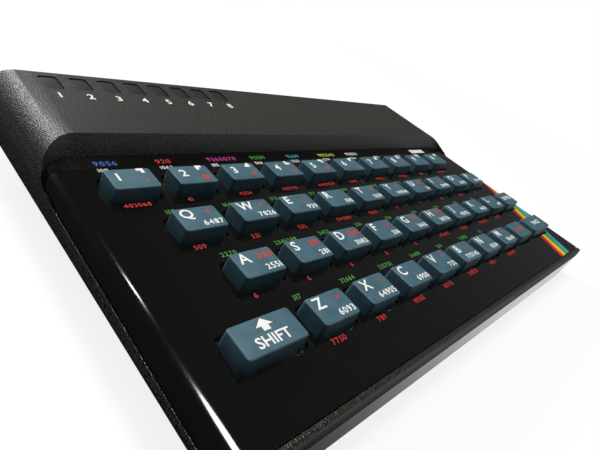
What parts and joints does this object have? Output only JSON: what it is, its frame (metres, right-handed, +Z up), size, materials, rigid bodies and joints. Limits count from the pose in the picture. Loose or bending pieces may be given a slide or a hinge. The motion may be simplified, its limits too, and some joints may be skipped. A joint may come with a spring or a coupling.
{
  "type": "home computer",
  "caption": "Low wedge-shaped home computer: rubber keys press through a glossy faceplate in a black case, with a raised rear section, sockets and buttons in the rear wall.",
  "frame": {"origin": "middle of the footprint, on the plane that the feet stand on", "axes": "+X to the right of the keyboard, +Y from the front edge to the rear wall with the sockets, +Z up"},
  "size_m": [0.233, 0.144, 0.0298],
  "materials": {
    "textured_abs": "moulded ABS with a fine spark texture",
    "smooth_abs": "smooth moulded ABS",
    "gloss_faceplate": "polished black sheet, printed",
    "key_rubber": "matt moulded silicone rubber",
    "mat_rubber": "matt moulded silicone rubber",
    "contact_film": "clear polyester film with printed tracks",
    "ribbon_film": "amber polyimide film",
    "circuit_board": "solder mask on glass fibre board",
    "anodised_aluminium": "black anodised",
    "plated_steel": "nickel plated sheet",
    "button_abs": "fine matt moulding",
    "foot_rubber": "matt moulded rubber"
  },
  "bodies": {
    "case": {"upper_case": "textured_abs", "lower_case": "smooth_abs", "faceplate": "gloss_faceplate", "key_mat": "mat_rubber", "keyboard_membrane": "contact_film", "keyboard_ribbon": "ribbon_film", "main_board": "circuit_board", "heat_sink": "anodised_aluminium", "usb_socket_1": "plated_steel", "usb_socket_2": "plated_steel", "usb_socket_3": "plated_steel", "usb_socket_4": "plated_steel", "hdmi_socket": "plated_steel", "power_socket": "plated_steel", "foot_1": "foot_rubber", "foot_2": "foot_rubber", "foot_3": "foot_rubber", "foot_4": "foot_rubber"},
    "key_0": {"key_0": "key_rubber"},
    "key_1": {"key_1": "key_rubber"},
    "key_2": {"key_2": "key_rubber"},
    "key_3": {"key_3": "key_rubber"},
    "key_4": {"key_4": "key_rubber"},
    "key_5": {"key_5": "key_rubber"},
    "key_6": {"key_6": "key_rubber"},
    "key_7": {"key_7": "key_rubber"},
    "key_8": {"key_8": "key_rubber"},
    "key_9": {"key_9": "key_rubber"},
    "key_a": {"key_a": "key_rubber"},
    "key_b": {"key_b": "key_rubber"},
    "key_c": {"key_c": "key_rubber"},
    "key_d": {"key_d": "key_rubber"},
    "key_e": {"key_e": "key_rubber"},
    "key_enter": {"key_enter": "key_rubber"},
    "key_f": {"key_f": "key_rubber"},
    "key_g": {"key_g": "key_rubber"},
    "key_h": {"key_h": "key_rubber"},
    "key_i": {"key_i": "key_rubber"},
    "key_j": {"key_j": "key_rubber"},
    "key_k": {"key_k": "key_rubber"},
    "key_l": {"key_l": "key_rubber"},
    "key_left_shift": {"key_left_shift": "key_rubber"},
    "key_m": {"key_m": "key_rubber"},
    "key_n": {"key_n": "key_rubber"},
    "key_o": {"key_o": "key_rubber"},
    "key_p": {"key_p": "key_rubber"},
    "key_q": {"key_q": "key_rubber"},
    "key_r": {"key_r": "key_rubber"},
    "key_s": {"key_s": "key_rubber"},
    "key_space": {"key_space": "key_rubber"},
    "key_symbol_shift": {"key_symbol_shift": "key_rubber"},
    "key_t": {"key_t": "key_rubber"},
    "key_u": {"key_u": "key_rubber"},
    "key_v": {"key_v": "key_rubber"},
    "key_w": {"key_w": "key_rubber"},
    "key_x": {"key_x": "key_rubber"},
    "key_y": {"key_y": "key_rubber"},
    "key_z": {"key_z": "key_rubber"},
    "power_button": {"power_button": "button_abs"},
    "menu_button": {"menu_button": "button_abs"}
  },
  "joints": [
    {"name": "key_0_press", "type": "slide", "parent": "case", "child": "key_0", "axis": [0, 0.0436, -0.999], "range_m": [0, 0.0015], "stiffness_N_per_m": 400},
    {"name": "key_1_press", "type": "slide", "parent": "case", "child": "key_1", "axis": [0, 0.0436, -0.999], "range_m": [0, 0.0015], "stiffness_N_per_m": 400},
    {"name": "key_2_press", "type": "slide", "parent": "case", "child": "key_2", "axis": [0, 0.0436, -0.999], "range_m": [0, 0.0015], "stiffness_N_per_m": 400},
    {"name": "key_3_press", "type": "slide", "parent": "case", "child": "key_3", "axis": [0, 0.0436, -0.999], "range_m": [0, 0.0015], "stiffness_N_per_m": 400},
    {"name": "key_4_press", "type": "slide", "parent": "case", "child": "key_4", "axis": [0, 0.0436, -0.999], "range_m": [0, 0.0015], "stiffness_N_per_m": 400},
    {"name": "key_5_press", "type": "slide", "parent": "case", "child": "key_5", "axis": [0, 0.0436, -0.999], "range_m": [0, 0.0015], "stiffness_N_per_m": 400},
    {"name": "key_6_press", "type": "slide", "parent": "case", "child": "key_6", "axis": [0, 0.0436, -0.999], "range_m": [0, 0.0015], "stiffness_N_per_m": 400},
    {"name": "key_7_press", "type": "slide", "parent": "case", "child": "key_7", "axis": [0, 0.0436, -0.999], "range_m": [0, 0.0015], "stiffness_N_per_m": 400},
    {"name": "key_8_press", "type": "slide", "parent": "case", "child": "key_8", "axis": [0, 0.0436, -0.999], "range_m": [0, 0.0015], "stiffness_N_per_m": 400},
    {"name": "key_9_press", "type": "slide", "parent": "case", "child": "key_9", "axis": [0, 0.0436, -0.999], "range_m": [0, 0.0015], "stiffness_N_per_m": 400},
    {"name": "key_a_press", "type": "slide", "parent": "case", "child": "key_a", "axis": [0, 0.0436, -0.999], "range_m": [0, 0.0015], "stiffness_N_per_m": 400},
    {"name": "key_b_press", "type": "slide", "parent": "case", "child": "key_b", "axis": [0, 0.0436, -0.999], "range_m": [0, 0.0015], "stiffness_N_per_m": 400},
    {"name": "key_c_press", "type": "slide", "parent": "case", "child": "key_c", "axis": [0, 0.0436, -0.999], "range_m": [0, 0.0015], "stiffness_N_per_m": 400},
    {"name": "key_d_press", "type": "slide", "parent": "case", "child": "key_d", "axis": [0, 0.0436, -0.999], "range_m": [0, 0.0015], "stiffness_N_per_m": 400},
    {"name": "key_e_press", "type": "slide", "parent": "case", "child": "key_e", "axis": [0, 0.0436, -0.999], "range_m": [0, 0.0015], "stiffness_N_per_m": 400},
    {"name": "key_enter_press", "type": "slide", "parent": "case", "child": "key_enter", "axis": [0, 0.0436, -0.999], "range_m": [0, 0.0015], "stiffness_N_per_m": 400},
    {"name": "key_f_press", "type": "slide", "parent": "case", "child": "key_f", "axis": [0, 0.0436, -0.999], "range_m": [0, 0.0015], "stiffness_N_per_m": 400},
    {"name": "key_g_press", "type": "slide", "parent": "case", "child": "key_g", "axis": [0, 0.0436, -0.999], "range_m": [0, 0.0015], "stiffness_N_per_m": 400},
    {"name": "key_h_press", "type": "slide", "parent": "case", "child": "key_h", "axis": [0, 0.0436, -0.999], "range_m": [0, 0.0015], "stiffness_N_per_m": 400},
    {"name": "key_i_press", "type": "slide", "parent": "case", "child": "key_i", "axis": [0, 0.0436, -0.999], "range_m": [0, 0.0015], "stiffness_N_per_m": 400},
    {"name": "key_j_press", "type": "slide", "parent": "case", "child": "key_j", "axis": [0, 0.0436, -0.999], "range_m": [0, 0.0015], "stiffness_N_per_m": 400},
    {"name": "key_k_press", "type": "slide", "parent": "case", "child": "key_k", "axis": [0, 0.0436, -0.999], "range_m": [0, 0.0015], "stiffness_N_per_m": 400},
    {"name": "key_l_press", "type": "slide", "parent": "case", "child": "key_l", "axis": [0, 0.0436, -0.999], "range_m": [0, 0.0015], "stiffness_N_per_m": 400},
    {"name": "key_left_shift_press", "type": "slide", "parent": "case", "child": "key_left_shift", "axis": [0, 0.0436, -0.999], "range_m": [0, 0.0015], "stiffness_N_per_m": 400},
    {"name": "key_m_press", "type": "slide", "parent": "case", "child": "key_m", "axis": [0, 0.0436, -0.999], "range_m": [0, 0.0015], "stiffness_N_per_m": 400},
    {"name": "key_n_press", "type": "slide", "parent": "case", "child": "key_n", "axis": [0, 0.0436, -0.999], "range_m": [0, 0.0015], "stiffness_N_per_m": 400},
    {"name": "key_o_press", "type": "slide", "parent": "case", "child": "key_o", "axis": [0, 0.0436, -0.999], "range_m": [0, 0.0015], "stiffness_N_per_m": 400},
    {"name": "key_p_press", "type": "slide", "parent": "case", "child": "key_p", "axis": [0, 0.0436, -0.999], "range_m": [0, 0.0015], "stiffness_N_per_m": 400},
    {"name": "key_q_press", "type": "slide", "parent": "case", "child": "key_q", "axis": [0, 0.0436, -0.999], "range_m": [0, 0.0015], "stiffness_N_per_m": 400},
    {"name": "key_r_press", "type": "slide", "parent": "case", "child": "key_r", "axis": [0, 0.0436, -0.999], "range_m": [0, 0.0015], "stiffness_N_per_m": 400},
    {"name": "key_s_press", "type": "slide", "parent": "case", "child": "key_s", "axis": [0, 0.0436, -0.999], "range_m": [0, 0.0015], "stiffness_N_per_m": 400},
    {"name": "key_space_press", "type": "slide", "parent": "case", "child": "key_space", "axis": [0, 0.0436, -0.999], "range_m": [0, 0.0015], "stiffness_N_per_m": 400},
    {"name": "key_symbol_shift_press", "type": "slide", "parent": "case", "child": "key_symbol_shift", "axis": [0, 0.0436, -0.999], "range_m": [0, 0.0015], "stiffness_N_per_m": 400},
    {"name": "key_t_press", "type": "slide", "parent": "case", "child": "key_t", "axis": [0, 0.0436, -0.999], "range_m": [0, 0.0015], "stiffness_N_per_m": 400},
    {"name": "key_u_press", "type": "slide", "parent": "case", "child": "key_u", "axis": [0, 0.0436, -0.999], "range_m": [0, 0.0015], "stiffness_N_per_m": 400},
    {"name": "key_v_press", "type": "slide", "parent": "case", "child": "key_v", "axis": [0, 0.0436, -0.999], "range_m": [0, 0.0015], "stiffness_N_per_m": 400},
    {"name": "key_w_press", "type": "slide", "parent": "case", "child": "key_w", "axis": [0, 0.0436, -0.999], "range_m": [0, 0.0015], "stiffness_N_per_m": 400},
    {"name": "key_x_press", "type": "slide", "parent": "case", "child": "key_x", "axis": [0, 0.0436, -0.999], "range_m": [0, 0.0015], "stiffness_N_per_m": 400},
    {"name": "key_y_press", "type": "slide", "parent": "case", "child": "key_y", "axis": [0, 0.0436, -0.999], "range_m": [0, 0.0015], "stiffness_N_per_m": 400},
    {"name": "key_z_press", "type": "slide", "parent": "case", "child": "key_z", "axis": [0, 0.0436, -0.999], "range_m": [0, 0.0015], "stiffness_N_per_m": 400},
    {"name": "power_button_press", "type": "slide", "parent": "case", "child": "power_button", "axis": [0, -1, 0], "range_m": [0, 0.0008], "stiffness_N_per_m": 400},
    {"name": "menu_button_press", "type": "slide", "parent": "case", "child": "menu_button", "axis": [0, -1, 0], "range_m": [0, 0.0008], "stiffness_N_per_m": 400}
  ]
}
